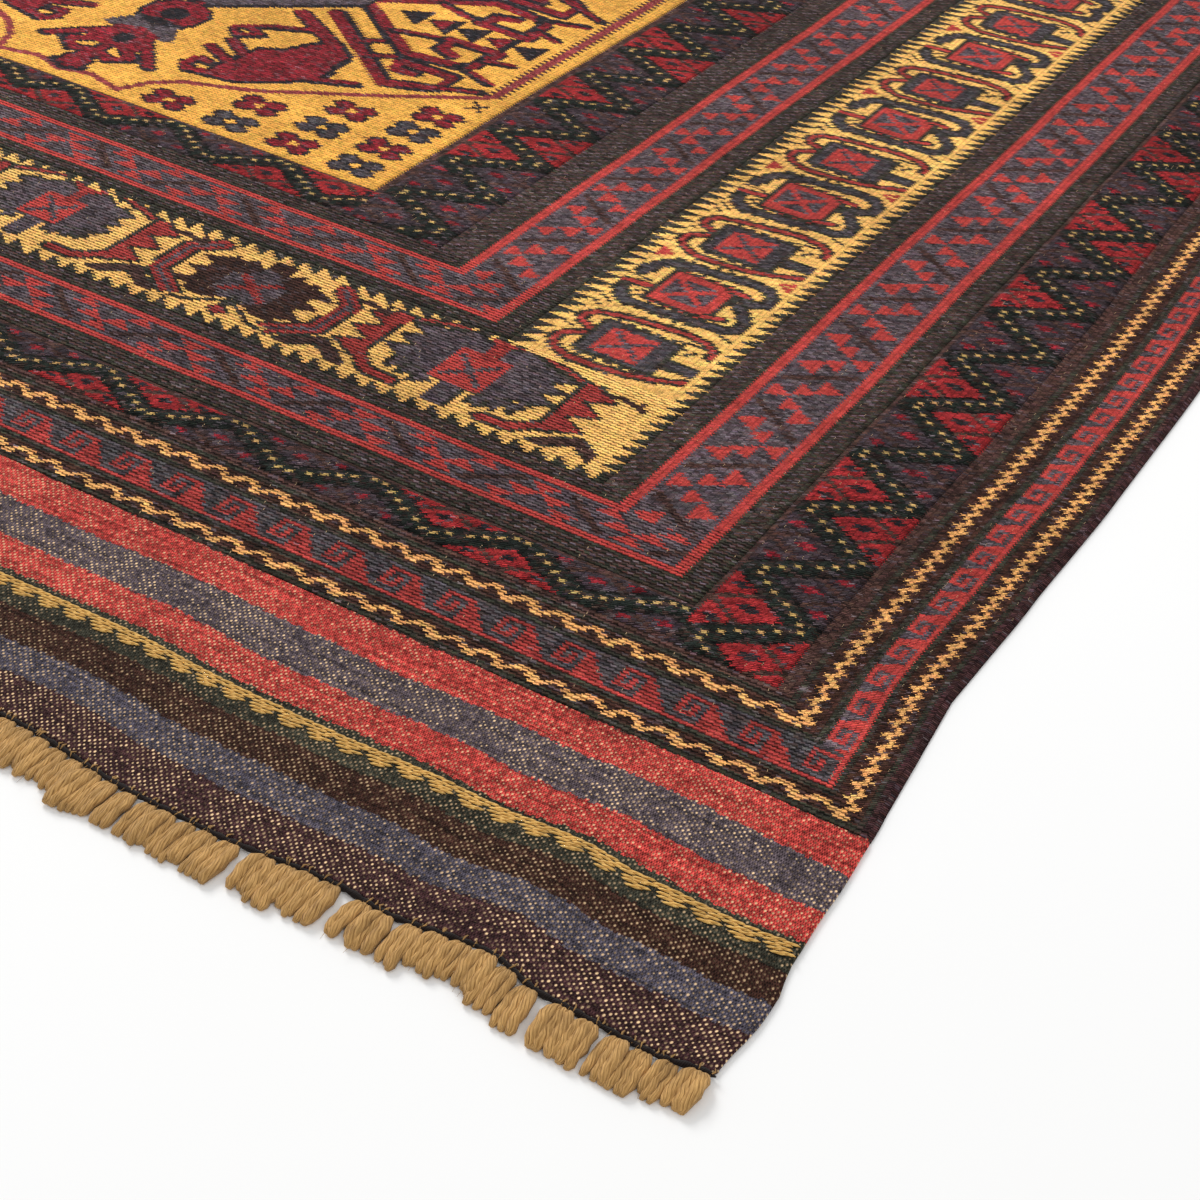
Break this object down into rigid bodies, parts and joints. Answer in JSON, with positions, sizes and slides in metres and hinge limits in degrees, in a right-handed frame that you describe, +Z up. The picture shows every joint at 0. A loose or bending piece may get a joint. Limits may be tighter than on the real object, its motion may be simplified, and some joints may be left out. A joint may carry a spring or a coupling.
{
  "type": "kilim rug",
  "caption": "Rectangular flat-woven wool rug lying flat, with raised border bands, thinner plain-woven ends and a looped warp fringe at each short end.",
  "frame": {"origin": "on the floor under the middle of the rug", "axes": "+Z up from the floor, +Y along the rug from the near fringe to the far one, +X across it"},
  "size_m": [2.0618, 3.0676, 0.006],
  "materials": {
    "dyed_wool": "matt handspun wool, weft-faced",
    "camel_wool": "matt undyed plied wool warp"
  },
  "bodies": {
    "root": {"cloth": "dyed_wool", "fringe_near": "camel_wool", "fringe_far": "camel_wool"}
  },
  "joints": []
}
